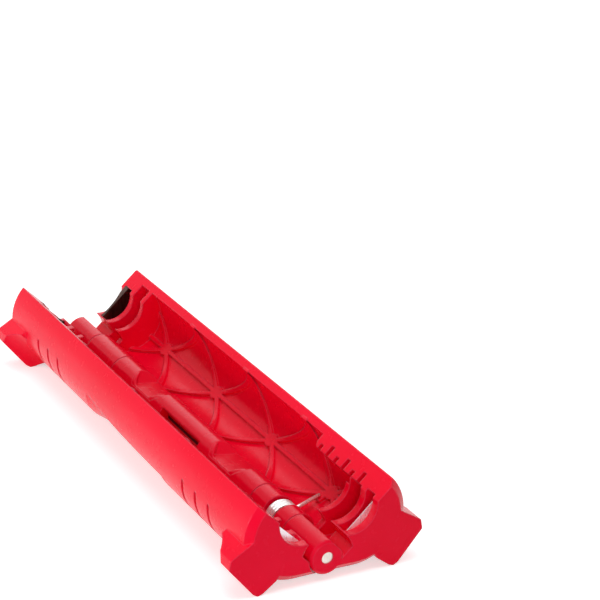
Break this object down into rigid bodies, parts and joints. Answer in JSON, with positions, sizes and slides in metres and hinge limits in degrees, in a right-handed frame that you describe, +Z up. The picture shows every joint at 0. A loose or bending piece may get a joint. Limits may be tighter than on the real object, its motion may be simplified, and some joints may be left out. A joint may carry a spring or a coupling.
{
  "type": "coaxial cable stripper",
  "caption": "Hand tool of two hinged moulded halves that close round a coaxial cable, with steel blades at both ends and a length scale on the rim.",
  "frame": {"origin": "on the surface that the open tool stands on, below the middle of its hinge", "axes": "+X along the hinge towards the sheath blades and the length scale, +Y out over the rear half, +Z up"},
  "size_m": [0.1, 0.0338, 0.0148],
  "materials": {
    "red_plastic": "satin moulded surface",
    "pin_steel": "cut end, plain",
    "spring_wire": "bright plated wire",
    "blade_steel": "ground",
    "dark_blade_steel": "dark hardened, ground edge"
  },
  "bodies": {
    "rear_half": {"rear_shell": "red_plastic", "hinge_pin": "pin_steel", "hinge_spring": "spring_wire", "sheath_blade_rear": "blade_steel", "core_blade_rear": "dark_blade_steel"},
    "front_half": {"front_shell": "red_plastic", "sheath_blade_front": "blade_steel", "core_blade_front": "dark_blade_steel"}
  },
  "joints": [
    {"name": "main_hinge", "type": "hinge", "parent": "rear_half", "child": "front_half", "pos_m": [0, 0, 0.00394], "axis": [-1, 0, 0], "range_deg": [0, 93.6], "stiffness_Nm_per_rad": 0.02, "springref_deg": -57.3, "deforming": ["hinge_spring"]}
  ]
}
